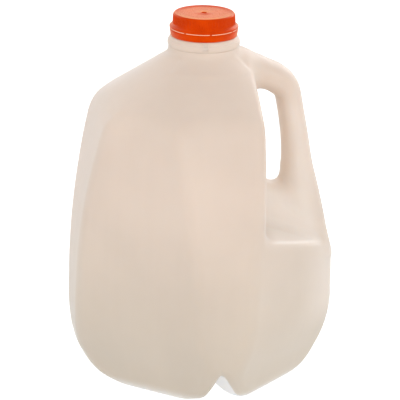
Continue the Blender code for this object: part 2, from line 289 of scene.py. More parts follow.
@dataclass(frozen=True)
class HandleRecess:
    """What is cleared away round the handle: a drafted wall over a sloping ledge."""

    wall: float = 0.0305
    draft: float = 0.04
    ledge_height: float = 0.1267
    ledge_slope: float = 0.366
    fillet: float = 0.0070
    edge_round: float = 0.0034
    ledge_round: float = 0.0070
    round_low: float = 0.100
    round_high: float = 0.132

    def edge_at(self, heights: np.ndarray) -> np.ndarray:
        """Return the outer edge's rounding at some heights, softer along the ledge."""
        softer = smooth_rise(heights, self.round_high, self.round_low)
        return self.edge_round + (self.ledge_round - self.edge_round) * softer

    def field(self, points: np.ndarray) -> np.ndarray:
        """Return signed distances to the cleared wedge, negative where it is cleared."""
        wall = self.wall - self.draft * np.abs(points[:, 1]) - points[:, 0]
        return round_overlap(wall / math.hypot(1.0, self.draft), self.ledge(points), self.fillet)

    def ledge(self, points: np.ndarray) -> np.ndarray:
        """Return how far each point lies below the ledge's plane."""
        below = self.ledge_height - self.ledge_slope * points[:, 0] - points[:, 2]
        return below / math.hypot(1.0, self.ledge_slope)


@dataclass(frozen=True)
class HandleRoot:
    """The ridge that rises from the ledge and carries the handle's lower end."""

    top_height: float = 0.1635
    slope: float = 0.61
    half_width: float = 0.0155
    drop: float = 0.0070
    drop_power: float = 3.0
    line_distance: float = 0.0880
    line_slope: float = 0.235
    line_height: float = 0.0925
    line_round: float = 0.0060
    flank_reach: float = 2.2
    start: float = 0.0240
    sink: float = 0.0060
    clearance: float = 0.0016

    def field(self, points: np.ndarray, body: np.ndarray, ledge: np.ndarray) -> np.ndarray:
        """Measure how far points are from the ridge.

        Args:
            points: Rows of x, y and z.
            body: Signed distances to the body before the recess is cleared.
            ledge: How far each point lies below the ledge's plane.

        Returns:
            Signed distances, negative inside.
        """
        width = np.minimum(np.abs(points[:, 1]) / self.half_width, self.flank_reach)
        drop = self.drop * width**self.drop_power
        steep = self.drop * self.drop_power * width ** (self.drop_power - 1.0) / self.half_width
        ridge = points[:, 2] - self.top_height + self.slope * points[:, 0] + drop
        ridge /= np.sqrt(1.0 + self.slope**2 + steep**2)
        line = self.line_distance - self.line_slope * np.maximum(points[:, 2] - self.line_height, 0.0)
        outer = (points[:, 0] - line) / math.hypot(1.0, self.line_slope)
        root = np.maximum(round_overlap(ridge, outer, self.line_round), self.start - points[:, 0])
        return np.maximum(np.maximum(root, body + self.clearance), ledge - self.sink)


@dataclass(frozen=True)
class HandleTube:
    """The hollow handle: an oval tube from the shoulder down into its root."""

    half_width: float = 0.0142
    section_power: float = 2.3
    blend: float = 0.0105
    blend_low: float = 0.0005
    fade_top: float = 0.128
    fade_bottom: float = 0.104
    samples: int = 60
    # the region outside which the tube is nowhere near
    least_x: float = -0.010
    widest_y: float = 0.030
    least_z: float = 0.075
    # centre x, centre z and half thickness along the centre line, in the plane y = 0
    stations: tuple[tuple[float, float, float], ...] = (
        (0.0120, 0.2156, 0.0105),
        (0.0300, 0.2147, 0.0110),
        (0.0420, 0.2106, 0.0101),
        (0.0494, 0.2072, 0.0099),
        (0.0547, 0.2027, 0.0095),
        (0.0577, 0.1975, 0.0087),
        (0.0601, 0.1859, 0.0084),
        (0.0630, 0.1690, 0.0088),
        (0.0649, 0.1530, 0.0097),
        (0.0660, 0.1400, 0.0115),
        (0.0690, 0.1250, 0.0123),
        (0.0725, 0.1080, 0.0127),
        (0.0745, 0.0980, 0.0127),
    )

    def centre_line(self) -> np.ndarray:
        """Resample the stations along a smooth curve through them.

        Returns:
            Rows of centre x, centre z and half thickness.
        """
        knots = np.array(self.stations)
        ends = np.vstack((2 * knots[0] - knots[1], knots, 2 * knots[-1] - knots[-2]))
        rows = []
        for share in np.linspace(0.0, len(knots) - 1.0, self.samples):
            span = min(int(share), len(knots) - 2)
            t = share - span
            a, b, c, d = ends[span : span + 4]
            curve = 2 * b + (c - a) * t + (2 * a - 5 * b + 4 * c - d) * t**2
            rows.append(0.5 * (curve + (3 * b - a - 3 * c + d) * t**3))
        return np.array(rows)

    def field(self, points: np.ndarray) -> np.ndarray:
        """Measure how far points are from the tube.

        Args:
            points: Rows of x, y and z.

        Returns:
            Signed distances, negative inside.
        """
        near = (points[:, 0] > self.least_x) & (np.abs(points[:, 1]) < self.widest_y)
        near &= points[:, 2] > self.least_z
        close = points[near]
        line = self.centre_line()
        best = np.full(len(close), FAR)
        thickness = np.full(len(close), line[0, 2])
        for start, end in zip(line, line[1:]):
            way = end[:2] - start[:2]
            rel_x, rel_z = close[:, 0] - start[0], close[:, 2] - start[1]
            share = np.clip((rel_x * way[0] + rel_z * way[1]) / (way @ way), 0.0, 1.0)
            gap = np.hypot(rel_x - share * way[0], rel_z - share * way[1])
            better = gap < best
            best = np.where(better, gap, best)
            thickness = np.where(better, start[2] + share * (end[2] - start[2]), thickness)
        power = self.section_power
        width = np.abs(close[:, 1])
        ratio = ((best / thickness) ** power + (width / self.half_width) ** power) ** (1.0 / power)
        ratio = np.maximum(ratio, TINY)
        pull_in = (best / thickness) ** (power - 1.0) / thickness
        pull_across = (width / self.half_width) ** (power - 1.0) / self.half_width
        steep = np.hypot(pull_in, pull_across) * ratio ** (1.0 - power)
        result = np.full(len(points), FAR)
        result[near] = (ratio - 1.0) / np.maximum(steep, 1.0)
        return result

    def blend_at(self, height: np.ndarray) -> np.ndarray:
        """Return the fillet's size at each height; it fades where the tube is buried."""
        share = smooth_rise(height, self.fade_bottom, self.fade_top)
        return self.blend_low + (self.blend - self.blend_low) * share


@dataclass(frozen=True)
class BaseGrooves:
    """The V grooves in the base's corners at -Y and +Y, one on each side of the parting plane."""

    height: float = 0.0286
    at_radius: float = 0.0840
    fall: float = 0.38
    left_spread: float = 0.44
    right_spread: float = 0.80
    centre: float = -0.0012
    ridge_round: float = 0.0016
    edge_round: float = 0.0030
    inner: float = 0.0300

    def field(self, points: np.ndarray) -> np.ndarray:
        """Measure how far points are from the grooves.

        Args:
            points: Rows of x, y and z.

        Returns:
            Signed distances, negative where the grooves are cleared.
        """
        out = np.abs(points[:, 1])
        sideways = points[:, 0] - self.centre
        across = np.hypot(sideways, self.ridge_round) - self.ridge_round
        spread = np.where(sideways < 0.0, self.left_spread, self.right_spread)
        roof = points[:, 2] - self.height - (out - self.at_radius) * self.fall + across / spread
        roof /= np.sqrt(1.0 + self.fall**2 + 1.0 / spread**2)
        return np.maximum(roof, self.inner - out)


# --- meshing a field ---------------------------------------------------------------------


@dataclass
class SurfaceNet:
    """Quads that wrap a field's zero level on a grid, then settle onto it."""

    low: tuple[float, float, float]
    high: tuple[float, float, float]
    cell: float
    relax_rounds: int = 4
    relax_share: float = 0.5

    def axes(self) -> list[np.ndarray]:
        """List the grid's coordinates.

        Returns:
            One array for each axis.
        """
        made = []
        for low, high in zip(self.low, self.high):
            count = int(math.ceil((high - low) / self.cell)) + 1
            made.append(low + self.cell * np.arange(count))
        return made

    def sample(self, rule: Field, axes: list[np.ndarray]) -> np.ndarray:
        """Sample a field at every grid point.

        Args:
            rule: The field.
            axes: The grid's coordinates along each axis.

        Returns:
            The field's values, indexed along x, y and z.
        """
        values = np.empty([len(axis) for axis in axes])
        for index, x in enumerate(axes[0]):
            y, z = np.meshgrid(axes[1], axes[2], indexing="ij")
            sheet = np.stack((np.full(y.size, x), y.ravel(), z.ravel()), axis=1)
            values[index] = rule(sheet).reshape(y.shape)
        return values

    def wrap(self, rule: Field) -> tuple[np.ndarray, np.ndarray]:
        """Wrap the zero level in quads.

        Args:
            rule: The field to mesh.

        Returns:
            Vertex positions, and rows of four vertex numbers with their faces turned outwards.
        """
        axes = self.axes()
        values = self.sample(rule, axes)
        inside = values < 0.0
        corners = [(i, j, k) for i in (0, 1) for j in (0, 1) for k in (0, 1)]
        shape = tuple(size - 1 for size in values.shape)
        count = np.zeros(shape, dtype=np.int8)
        for i, j, k in corners:
            count += inside[i : i + shape[0], j : j + shape[1], k : k + shape[2]]
        cells = np.nonzero((count > 0) & (count < len(corners)))
        numbers = np.full(shape, -1)
        numbers[cells] = np.arange(len(cells[0]))
        return self.cell_points(values, axes, cells), self.cell_quads(inside, numbers)

    def cell_points(self, values: np.ndarray, axes: list[np.ndarray], cells: tuple) -> np.ndarray:
        """Place one vertex in each crossed cell, at the mean of its edges' crossings.

        Args:
            values: The field's values on the grid.
            axes: The grid's coordinates along each axis.
            cells: The crossed cells, as an index array for each axis.

        Returns:
            Rows of x, y and z.
        """
        total = np.zeros((len(cells[0]), 3))
        hits = np.zeros(len(cells[0]))
        for axis in range(3):
            others = [other for other in range(3) if other != axis]
            for first in (0, 1):
                for second in (0, 1):
                    start = [0, 0, 0]
                    start[others[0]] = first
                    start[others[1]] = second
                    end = list(start)
                    end[axis] = 1
                    a_index = tuple(cells[n] + start[n] for n in range(3))
                    b_index = tuple(cells[n] + end[n] for n in range(3))
                    a, b = values[a_index], values[b_index]
                    crossed = (a < 0.0) != (b < 0.0)
                    share = np.where(crossed, a / np.where(crossed, a - b, 1.0), 0.0)
                    for n in range(3):
                        first_place = axes[n][a_index[n]]
                        place = first_place + share * (axes[n][b_index[n]] - first_place)
                        total[:, n] += np.where(crossed, place, 0.0)
                    hits += crossed
        return total / hits[:, None]

    def cell_quads(self, inside: np.ndarray, numbers: np.ndarray) -> np.ndarray:
        """Lay a quad across each grid edge that the surface crosses.

        Args:
            inside: Whether each grid point is inside.
            numbers: The vertex number of each crossed cell.

        Returns:
            Rows of four vertex numbers.
        """
        made = []
        for axis in range(3):
            turned = np.moveaxis(inside, axis, 0)
            table = np.moveaxis(numbers, axis, 0)
            if axis == 1:
                turned = turned.swapaxes(1, 2)
                table = table.swapaxes(1, 2)
            start, end = turned[:-1, 1:-1, 1:-1], turned[1:, 1:-1, 1:-1]
            i, j, k = np.nonzero(start != end)
            ring = [table[i, j, k], table[i, j + 1, k], table[i, j + 1, k + 1], table[i, j, k + 1]]
            quads = np.stack(ring, axis=1)
            outward = start[i, j, k]
            made.append(np.where(outward[:, None], quads, quads[:, ::-1]))
        return np.vstack(made)

    def settle(self, rule: Field, points: np.ndarray, quads: np.ndarray) -> np.ndarray:
        """Even out the vertices along the surface and put them exactly on it.

        Args:
            rule: The field.
            points: The vertices.
            quads: Rows of four vertex numbers.

        Returns:
            The vertices' new places.
        """
        edges = np.vstack([quads[:, [n, (n + 1) % 4]] for n in range(4)])
        count = np.bincount(edges.ravel(), minlength=len(points))
        points = onto_surface(rule, points, 3)
        for _ in range(self.relax_rounds):
            mean = np.empty_like(points)
            for n in range(3):
                mean[:, n] = np.bincount(edges[:, 0], points[edges[:, 1], n], len(points))
                mean[:, n] += np.bincount(edges[:, 1], points[edges[:, 0], n], len(points))
            mean /= count[:, None]
            normal = unit_rows(gradient(rule, points))
            move = mean - points
            move -= (move * normal).sum(axis=1)[:, None] * normal
            points = onto_surface(rule, points + self.relax_share * move, 1)
        return onto_surface(rule, points, 2)


def gradient(rule: Field, points: np.ndarray) -> np.ndarray:
    """Measure a field's gradient by central differences.

    Args:
        rule: The field.
        points: Where to measure it.

    Returns:
        One row of three slopes for each point.
    """
    step = 0.00015
    slopes = []
    for axis in range(3):
        move = np.zeros(3)
        move[axis] = step
        slopes.append((rule(points + move) - rule(points - move)) / (2.0 * step))
    return np.stack(slopes, axis=1)


def unit_rows(rows: np.ndarray) -> np.ndarray:
    """Return the rows scaled to length one."""
    return rows / np.maximum(np.linalg.norm(rows, axis=1), 1e-9)[:, None]


def onto_surface(rule: Field, points: np.ndarray, rounds: int) -> np.ndarray:
    """Move points along the field's gradient onto its zero level.

    Args:
        rule: The field.
        points: Where the points are.
        rounds: How many corrections to make.

    Returns:
        Where the points end.
    """
    least_square = 0.2
    longest_move = 0.002
    for _ in range(rounds):
        slope = gradient(rule, points)
        size = np.maximum((slope**2).sum(axis=1), least_square)
        move = slope * (rule(points) / size)[:, None]
        points = points - np.clip(move, -longest_move, longest_move)
    return points


# --- helpers for meshes and materials ----------------------------------------------------


def link_mesh(name: str, mesh: bpy.types.Mesh) -> bpy.types.Object:
    """Put a mesh in the scene as a new object at the origin.

    Args:
        name: The object's name.
        mesh: The mesh.

    Returns:
        The object.
    """
    made = bpy.data.objects.new(name, mesh)
    bpy.context.scene.collection.objects.link(made)
    return made


def mesh_from(name: str, grid: bmesh.types.BMesh) -> bpy.types.Mesh:
    """Write a bmesh out as a smooth-shaded mesh and free it.

    Args:
        name: The mesh's name.
        grid: The bmesh.

    Returns:
        The mesh.
    """
    for face in grid.faces:
        face.smooth = True
    mesh = bpy.data.meshes.new(name)
    grid.to_mesh(mesh)
    grid.free()
    return mesh


def stepped(radius: float, height: float, steps: Rows) -> Profile:
    """Return a profile's rows, each a step out and up from one radius and height."""
    return [(radius + out, height + up) for out, up in steps]


def turned_rings(
    grid: bmesh.types.BMesh, profile: Profile, columns: int, closed: bool
) -> list[list[bmesh.types.BMVert]]:
    """Turn a profile round the Z axis.

    Args:
        grid: The bmesh to add to.
        profile: The profile's points, in an order that turns its faces outwards.
        columns: How many points each ring has.
        closed: Whether the last ring joins the first.

    Returns:
        The rings of new vertices.
    """
    turns = [FULL_TURN * n / columns for n in range(columns)]
    rings = [[grid.verts.new((r * math.cos(a), r * math.sin(a), z)) for a in turns] for r, z in profile]
    pairs = list(zip(rings, rings[1:]))
    if closed:
        pairs.append((rings[-1], rings[0]))
    for lower, upper in pairs:
        for n in range(columns):
            after = (n + 1) % columns
            grid.faces.new((lower[n], lower[after], upper[after], upper[n]))
    return rings


class NodeSheet:
    """A shorthand for building a node tree."""

    def __init__(self, tree: bpy.types.NodeTree) -> None:
        """Start with the tree to build in."""
        self.tree = tree

    def add(self, kind: str, **settings: object) -> bpy.types.Node:
        """Add a node.

        Args:
            kind: The node's type.
            **settings: The properties to set on it.

        Returns:
            The new node.
        """
        node = self.tree.nodes.new(kind)
        for name, value in settings.items():
            setattr(node, name, value)
        return node

    def feed(self, socket: bpy.types.NodeSocket, value: object) -> None:
        """Feed a socket.

        Args:
            socket: The input to feed.
            value: A socket to link it to, a constant, or None to leave it alone.
        """
        if isinstance(value, bpy.types.NodeSocket):
            self.tree.links.new(value, socket)
        elif value is not None:
            socket.default_value = value

    def fill(self, node: bpy.types.Node, values: dict[str, object]) -> None:
        """Feed a node's named sockets."""
        for name, value in values.items():
            self.feed(node.inputs[name], value)

    def math(self, operation: str, *values: object) -> bpy.types.NodeSocket:
        """Add a Math node.

        Args:
            operation: What it does.
            *values: Its operands.

        Returns:
            Its result.
        """
        node = self.add("ShaderNodeMath", operation=operation)
        for socket, value in zip(node.inputs, values):
            self.feed(socket, value)
        return node.outputs[0]

    def product(self, first: object, *others: object) -> bpy.types.NodeSocket:
        """Multiply values.

        Args:
            first: The first factor.
            *others: The other factors.

        Returns:
            Their product.
        """
        for other in others:
            first = self.math("MULTIPLY", first, other)
        return first

    def distance(self, x: object, y: object) -> bpy.types.NodeSocket:
        """Return the distance from the Z axis."""
        return self.math("SQRT", self.math("ADD", self.product(x, x), self.product(y, y)))

    def split(self, vector: bpy.types.NodeSocket) -> bpy.types.NodeOutputs:
        """Split a vector.

        Args:
            vector: The vector.

        Returns:
            Its x, y and z.
        """
        node = self.add("ShaderNodeSeparateXYZ")
        self.feed(node.inputs[0], vector)
        return node.outputs

    def combine(self, kind: str, *parts: object) -> bpy.types.NodeSocket:
        """Combine three numbers.

        Args:
            kind: The type of the node that combines them.
            *parts: The numbers, or None for one that stays 0.

        Returns:
            The vector or colour.
        """
        node = self.add(kind)
        for socket, part in zip(node.inputs, parts):
            self.feed(socket, part)
        return node.outputs[0]

    def remap(
        self, value: object, low: object, high: object, to_low: float, to_high: float
    ) -> bpy.types.NodeSocket:
        """Map a value smoothly from one range to another.

        Args:
            value: The value.
            low: Where its range starts.
            high: Where its range ends.
            to_low: The result at the start.
            to_high: The result at the end.

        Returns:
            The result.
        """
        node = self.add("ShaderNodeMapRange", interpolation_type="SMOOTHSTEP")
        for socket, part in zip(node.inputs, (value, low, high, to_low, to_high)):
            self.feed(socket, part)
        return node.outputs[0]

    def rise(self, value: object, span: Span) -> bpy.types.NodeSocket:
        """Rise smoothly from 0 to 1 over a span of the value."""
        return self.remap(value, *span, 0.0, 1.0)

    def fall(self, value: object, span: Span) -> bpy.types.NodeSocket:
        """Fall smoothly from 1 to 0 over a span of the value."""
        return self.remap(value, *span, 1.0, 0.0)

    def noise(self, where: bpy.types.NodeSocket, scale: object, detail: float = 2.0) -> bpy.types.NodeSocket:
        """Add a noise texture.

        Args:
            where: The place to look it up.
            scale: Its scale.
            detail: Its detail.

        Returns:
            Its height.
        """
        node = self.add("ShaderNodeTexNoise")
        self.fill(node, {"Vector": where, "Scale": scale, "Detail": detail})
        return node.outputs["Fac"]

    def mix(self, share: object, first: object, second: object) -> bpy.types.NodeSocket:
        """Mix two colours.

        Args:
            share: The second colour's share.
            first: The first colour.
            second: The second colour.

        Returns:
            The mixed colour.
        """
        node = self.add("ShaderNodeMix", data_type="RGBA")
        first_colour, second_colour, mixed = 6, 7, 2
        self.feed(node.inputs["Factor"], share)
        self.feed(node.inputs[first_colour], first)
        self.feed(node.inputs[second_colour], second)
        return node.outputs[mixed]

    def bump(self, height: object, strength: float, distance: float) -> bpy.types.NodeSocket:
        """Turn a height into a surface normal.

        Args:
            height: The height.
            strength: How strongly it shows.
            distance: How much a height of 1 stands out.

        Returns:
            The normal.
        """
        node = self.add("ShaderNodeBump")
        self.fill(node, {"Strength": strength, "Distance": distance, "Height": height})
        return node.outputs[0]


class Socket(Enum):
    """Kinds of socket on a node group."""

    NUMBER = "NodeSocketFloat"
    VECTOR = "NodeSocketVector"
    COUNT = "NodeSocketInt"
    SHAPE = "NodeSocketGeometry"
    MATERIAL = "NodeSocketMaterial"


def new_group(
    name: str, kind: str, inputs: dict[str, Socket], outputs: dict[str, Socket]
) -> tuple[NodeSheet, bpy.types.Node, bpy.types.Node]:
    """Start a node group with named sockets.

    Args:
        name: The group's name.
        kind: The kind of node tree.
        inputs: The kind of each named input.
        outputs: The kind of each named output.

    Returns:
        The group's sheet, its input node and its output node.
    """
    tree = bpy.data.node_groups.new(name, kind)
    for label, socket in inputs.items():
        tree.interface.new_socket(name=label, in_out="INPUT", socket_type=socket.value)
    for label, socket in outputs.items():
        tree.interface.new_socket(name=label, in_out="OUTPUT", socket_type=socket.value)
    sheet = NodeSheet(tree)
    return sheet, sheet.add("NodeGroupInput"), sheet.add("NodeGroupOutput")


def new_material(name: str) -> tuple[bpy.types.Material, NodeSheet, bpy.types.Node, bpy.types.NodeSocket]:
    """Start a material.

    Args:
        name: The material's name.

    Returns:
        The material, its sheet, its Principled shader and the Object coordinates.
    """
    material = bpy.data.materials.new(name)
    material.use_nodes = True
    sheet = NodeSheet(material.node_tree)
    shader = material.node_tree.nodes["Principled BSDF"]
    where = sheet.add("ShaderNodeTexCoord").outputs["Object"]
    return material, sheet, shader, where


# --- finishes ----------------------------------------------------------------------------


@dataclass(frozen=True)
class MouldedGrain:
    """The faint clouds, flow streaks and fine grain that every moulded plastic has."""

    name: str = "moulded_grain"
    cloud_detail: float = 3.0
    streak_scale: float = 160.0
    streak_stretch: tuple[float, float, float] = (1.0, 1.0, 0.06)

    def group(self) -> bpy.types.NodeTree:
        """Build the group once.

        Returns:
            The group.
        """
        if self.name in bpy.data.node_groups:
            return bpy.data.node_groups[self.name]
        sheet, given, put = new_group(
            self.name,
            "ShaderNodeTree",
            {"Position": Socket.VECTOR, "Cloud Scale": Socket.NUMBER, "Grain Scale": Socket.NUMBER},
            {"Cloud": Socket.NUMBER, "Streak": Socket.NUMBER, "Grain": Socket.NUMBER},
        )
        where = given.outputs["Position"]
        stretch = sheet.add("ShaderNodeMapping")
        sheet.fill(stretch, {"Vector": where, "Scale": self.streak_stretch})
        looks = {
            "Cloud": sheet.noise(where, given.outputs["Cloud Scale"], self.cloud_detail),
            "Streak": sheet.noise(stretch.outputs[0], self.streak_scale),
            "Grain": sheet.noise(where, given.outputs["Grain Scale"]),
        }
        sheet.fill(put, looks)
        return sheet.tree

    def place(
        self, sheet: NodeSheet, where: bpy.types.NodeSocket, cloud_scale: float, grain_scale: float
    ) -> bpy.types.NodeOutputs:
        """Place the group in a material.

        Args:
            sheet: The material's nodes.
            where: The Object coordinates.
            cloud_scale: The clouds' scale.
            grain_scale: The grain's scale.

        Returns:
            Its outputs, named Cloud, Streak and Grain.
        """
        node = sheet.add("ShaderNodeGroup", node_tree=self.group())
        sheet.fill(node, {"Position": where, "Cloud Scale": cloud_scale, "Grain Scale": grain_scale})
        return node.outputs


@dataclass(frozen=True)
class NaturalPlastic:
    """Unpigmented blow-moulded plastic: milky, warm, with a soft satin skin."""

    upper: Colour = (0.765, 0.640, 0.545, 1.0)
    # painted shade: the lower tint makes the body darker towards the base
    lower: Colour = (0.650, 0.570, 0.475, 1.0)
    # painted light: a paler tint that stands in for light through the plastic where the handle and its
    # recess lie in shade
    painted_glow: Colour = (0.840, 0.752, 0.675, 1.0)
    # painted light: a near white that stands in for the glow at the base's edge and lifts the shade in the
    # grooves
    foot: Colour = (0.960, 0.935, 0.905, 1.0)
    height_span: Span = (0.0, 0.17)
    # where light is painted on round the handle: the recess, the ledge and the handle's inner side lie in
    # shade and are painted paler, as if lit through the plastic
    recess_span: Span = (0.030, 0.042)
    ledge_slope: float = 0.366
    ledge_span: Span = (0.1252, 0.1266)
    handle_lean: float = 0.20
    handle_span: Span = (0.092, 0.106)
    elbow_span: Span = (0.184, 0.206)
    # the corner under the handle, painted paler as painted light through the plastic
    corner_span: Span = (0.0540, 0.0860)
    corner_share: float = 0.70
    corner_top: Span = (0.085, 0.118)
    corner_bottom: Span = (0.030, 0.060)
    # painted light on the edge round the base, and on the walls of its grooves
    foot_span: Span = (0.0, 0.0120)
    foot_share: float = 0.85
    groove_top: Span = (0.0235, 0.0285)
    groove_corner_draft: float = 0.75
    groove_corner_span: Span = (0.0600, 0.0622)
    groove_side_draft: float = 0.50
    groove_side_span: Span = (0.0765, 0.0790)
    cloud_scale: float = 14.0
    cloud_shades: Span = (0.965, 1.02)
    streak_shades: Span = (0.996, 1.004)
    grain_scale: float = 1800.0
    roughness: Span = (0.38, 0.47)
    seam_span: Span = (0.00015, 0.0005)
    seam_relief: float = 0.8
    streak_relief: float = 0.05
    grain_relief: float = 0.10
    bump_strength: float = 0.35
    bump_height: float = 0.0002
    grain: MouldedGrain = field(default_factory=MouldedGrain)

    def material(self) -> bpy.types.Material:
        """Build the material.

        Returns:
            The material.
        """
        material, sheet, shader, where = new_material("natural_plastic")
        looks = self.grain.place(sheet, where, self.cloud_scale, self.grain_scale)
        place = sheet.split(where)
        # painted shade: the body darkens from the upper tint to the lower tint towards the base
        tint = sheet.mix(sheet.rise(place["Z"], self.height_span), self.lower, self.upper)
        # painted light: lighten the recess, the ledge, the handle's inner side and the corner under the
        # handle
        tint = sheet.mix(self.painted_light_places(sheet, place), tint, self.painted_glow)
        # painted light: a pale rim round the base and pale groove walls
        tint = sheet.mix(self.painted_base_light_places(sheet, place), tint, self.foot)
        shade = sheet.remap(looks["Cloud"], *NOISE_SPAN, *self.cloud_shades)
        streaks = sheet.remap(looks["Streak"], *STREAK_SPAN, *self.streak_shades)
        scaled = sheet.add("ShaderNodeVectorMath", operation="SCALE")
        sheet.feed(scaled.inputs[0], tint)
        sheet.feed(scaled.inputs["Scale"], sheet.product(shade, streaks))
        sheet.feed(shader.inputs["Base Color"], scaled.outputs[0])
        sheet.feed(shader.inputs["Roughness"], sheet.remap(looks["Cloud"], *NOISE_SPAN, *self.roughness))
        seam = sheet.fall(sheet.math("ABSOLUTE", place["Y"]), self.seam_span)
        relief = sheet.product(looks["Grain"], self.grain_relief)
        relief = sheet.math("MULTIPLY_ADD", looks["Streak"], self.streak_relief, relief)
        relief = sheet.math("MULTIPLY_ADD", seam, self.seam_relief, relief)
        sheet.feed(shader.inputs["Normal"], sheet.bump(relief, self.bump_strength, self.bump_height))
        constants = {
            "Subsurface Weight": 1.0,
            "Subsurface Radius": (1.0, 0.9, 0.8),
            "Subsurface Scale": 0.0006,
            "IOR": 1.5,
            "Sheen Weight": 0.60,
            "Sheen Roughness": 0.24,
        }
        sheet.fill(shader, constants)
        return material

    def painted_light_places(self, sheet: NodeSheet, place: bpy.types.NodeOutputs) -> bpy.types.NodeSocket:
        """Mark where light is painted on: round the handle and at the corner under it.

        Args:
            sheet: The material's nodes.
            place: A point's x, y and z.

        Returns:
            The share of the painted glow's colour.
        """
        outwards = sheet.rise(place["X"], self.recess_span)
        ledge = sheet.math("MULTIPLY_ADD", place["X"], self.ledge_slope, place["Z"])
        leaning = sheet.math("MULTIPLY_ADD", place["Z"], self.handle_lean, place["X"])
        inner = sheet.fall(leaning, self.handle_span)
        below = sheet.fall(place["Z"], self.elbow_span)
        handle = sheet.product(outwards, sheet.rise(ledge, self.ledge_span), inner, below)
        corner = sheet.remap(place["X"], *self.corner_span, 0.0, self.corner_share)
        above = sheet.rise(place["Z"], self.corner_bottom)
        between = sheet.product(sheet.fall(place["Z"], self.corner_top), above)
        return sheet.math("MAXIMUM", handle, sheet.product(corner, between))

    def painted_base_light_places(self, sheet: NodeSheet, place: bpy.types.NodeOutputs) -> bpy.types.NodeSocket:
        """Mark where light is painted on: a pale rim round the base, and the walls of its grooves, which lie
        in shade.

        Args:
            sheet: The material's nodes.
            place: A point's x, y and z.

        Returns:
            The share of the foot's colour, which is painted light.
        """
        low = sheet.remap(place["Z"], *self.foot_span, self.foot_share, 0.0)
        across = sheet.math("ABSOLUTE", place["X"])
        along = sheet.math("ABSOLUTE", place["Y"])
        both = sheet.math("ADD", across, along)
        past_corner = sheet.math("MULTIPLY_ADD", place["Z"], -self.groove_corner_draft, along)
        past_side = sheet.math("MULTIPLY_ADD", place["Z"], -self.groove_side_draft, both)
        groove = sheet.product(
            sheet.fall(past_corner, self.groove_corner_span),
            sheet.fall(past_side, self.groove_side_span),
            sheet.fall(place["Z"], self.groove_top),
        )
        return sheet.math("MAXIMUM", low, groove)


@dataclass(frozen=True)
class OrangePlastic:
    """Bright injection-moulded plastic with a satin gloss."""

    colour: Colour = (0.73, 0.053, 0.0004, 1.0)
    deep: Colour = (0.63, 0.038, 0.0003, 1.0)
    # painted light: a pale tint on the web in the slit stands in for light showing through the gap
    painted_slit_light: Colour = (1.0, 0.66, 0.46, 1.0)
    web_height: float = 0.24395
    web_half_height: float = 0.00022
    web_reach: float = 0.0226
    cloud_scale: float = 90.0
    grain_scale: float = 3500.0
    roughness: Span = (0.25, 0.33)
    bump_strength: float = 0.25
    bump_height: float = 0.0001
    grain: MouldedGrain = field(default_factory=MouldedGrain)

    def material(self) -> bpy.types.Material:
        """Build the material.

        Returns:
            The material.
        """
        material, sheet, shader, where = new_material("orange_plastic")
        looks = self.grain.place(sheet, where, self.cloud_scale, self.grain_scale)
        x, y, z = sheet.split(where)
        inner = sheet.math("LESS_THAN", sheet.distance(x, y), self.web_reach)
        level = sheet.math("COMPARE", z, self.web_height, self.web_half_height)
        plain = sheet.mix(sheet.rise(looks["Cloud"], NOISE_SPAN), self.deep, self.colour)
        # paint light on the web in the slit
        sheet.feed(shader.inputs["Base Color"], sheet.mix(sheet.product(inner, level), plain, self.painted_slit_light))
        sheet.feed(shader.inputs["Roughness"], sheet.remap(looks["Grain"], *NOISE_SPAN, *self.roughness))
        normal = sheet.bump(looks["Grain"], self.bump_strength, self.bump_height)
        sheet.feed(shader.inputs["Normal"], normal)
        constants = {
            "IOR": 1.5,
            "Specular IOR Level": 0.30,
            "Specular Tint": (1.0, 0.34, 0.04, 1.0),
            "Sheen Weight": 1.0,
            "Sheen Roughness": 0.34,
            "Sheen Tint": (1.0, 0.44, 0.12, 1.0),
        }
        sheet.fill(shader, constants)
        return material


@dataclass(frozen=True)
class StudioWhite:
    """The pale floor's paint: a lit white sweep that shows no shadow."""

    levels: Span = (0.24, 0.26)
    cloud_scale: float = 3.0
    glow: float = 0.62
    seen_glow: float = 1.05

    def material(self) -> bpy.types.Material:
        """Build the material.

        Returns:
            The material.
        """
        material, sheet, shader, where = new_material("studio_white")
        soft = sheet.remap(sheet.noise(where, self.cloud_scale), *NOISE_SPAN, *self.levels)
        tone = sheet.combine("ShaderNodeCombineColor", soft, soft, soft)
        seen = sheet.add("ShaderNodeLightPath").outputs["Is Camera Ray"]
        glow = sheet.math("MULTIPLY_ADD", seen, self.seen_glow - self.glow, self.glow)
        looks = {"Base Color": tone, "Roughness": 0.9, "Emission Color": WHITE, "Emission Strength": glow}
        sheet.fill(shader, looks)
        return material


# --- the jug -------------------------------------------------------------------------------


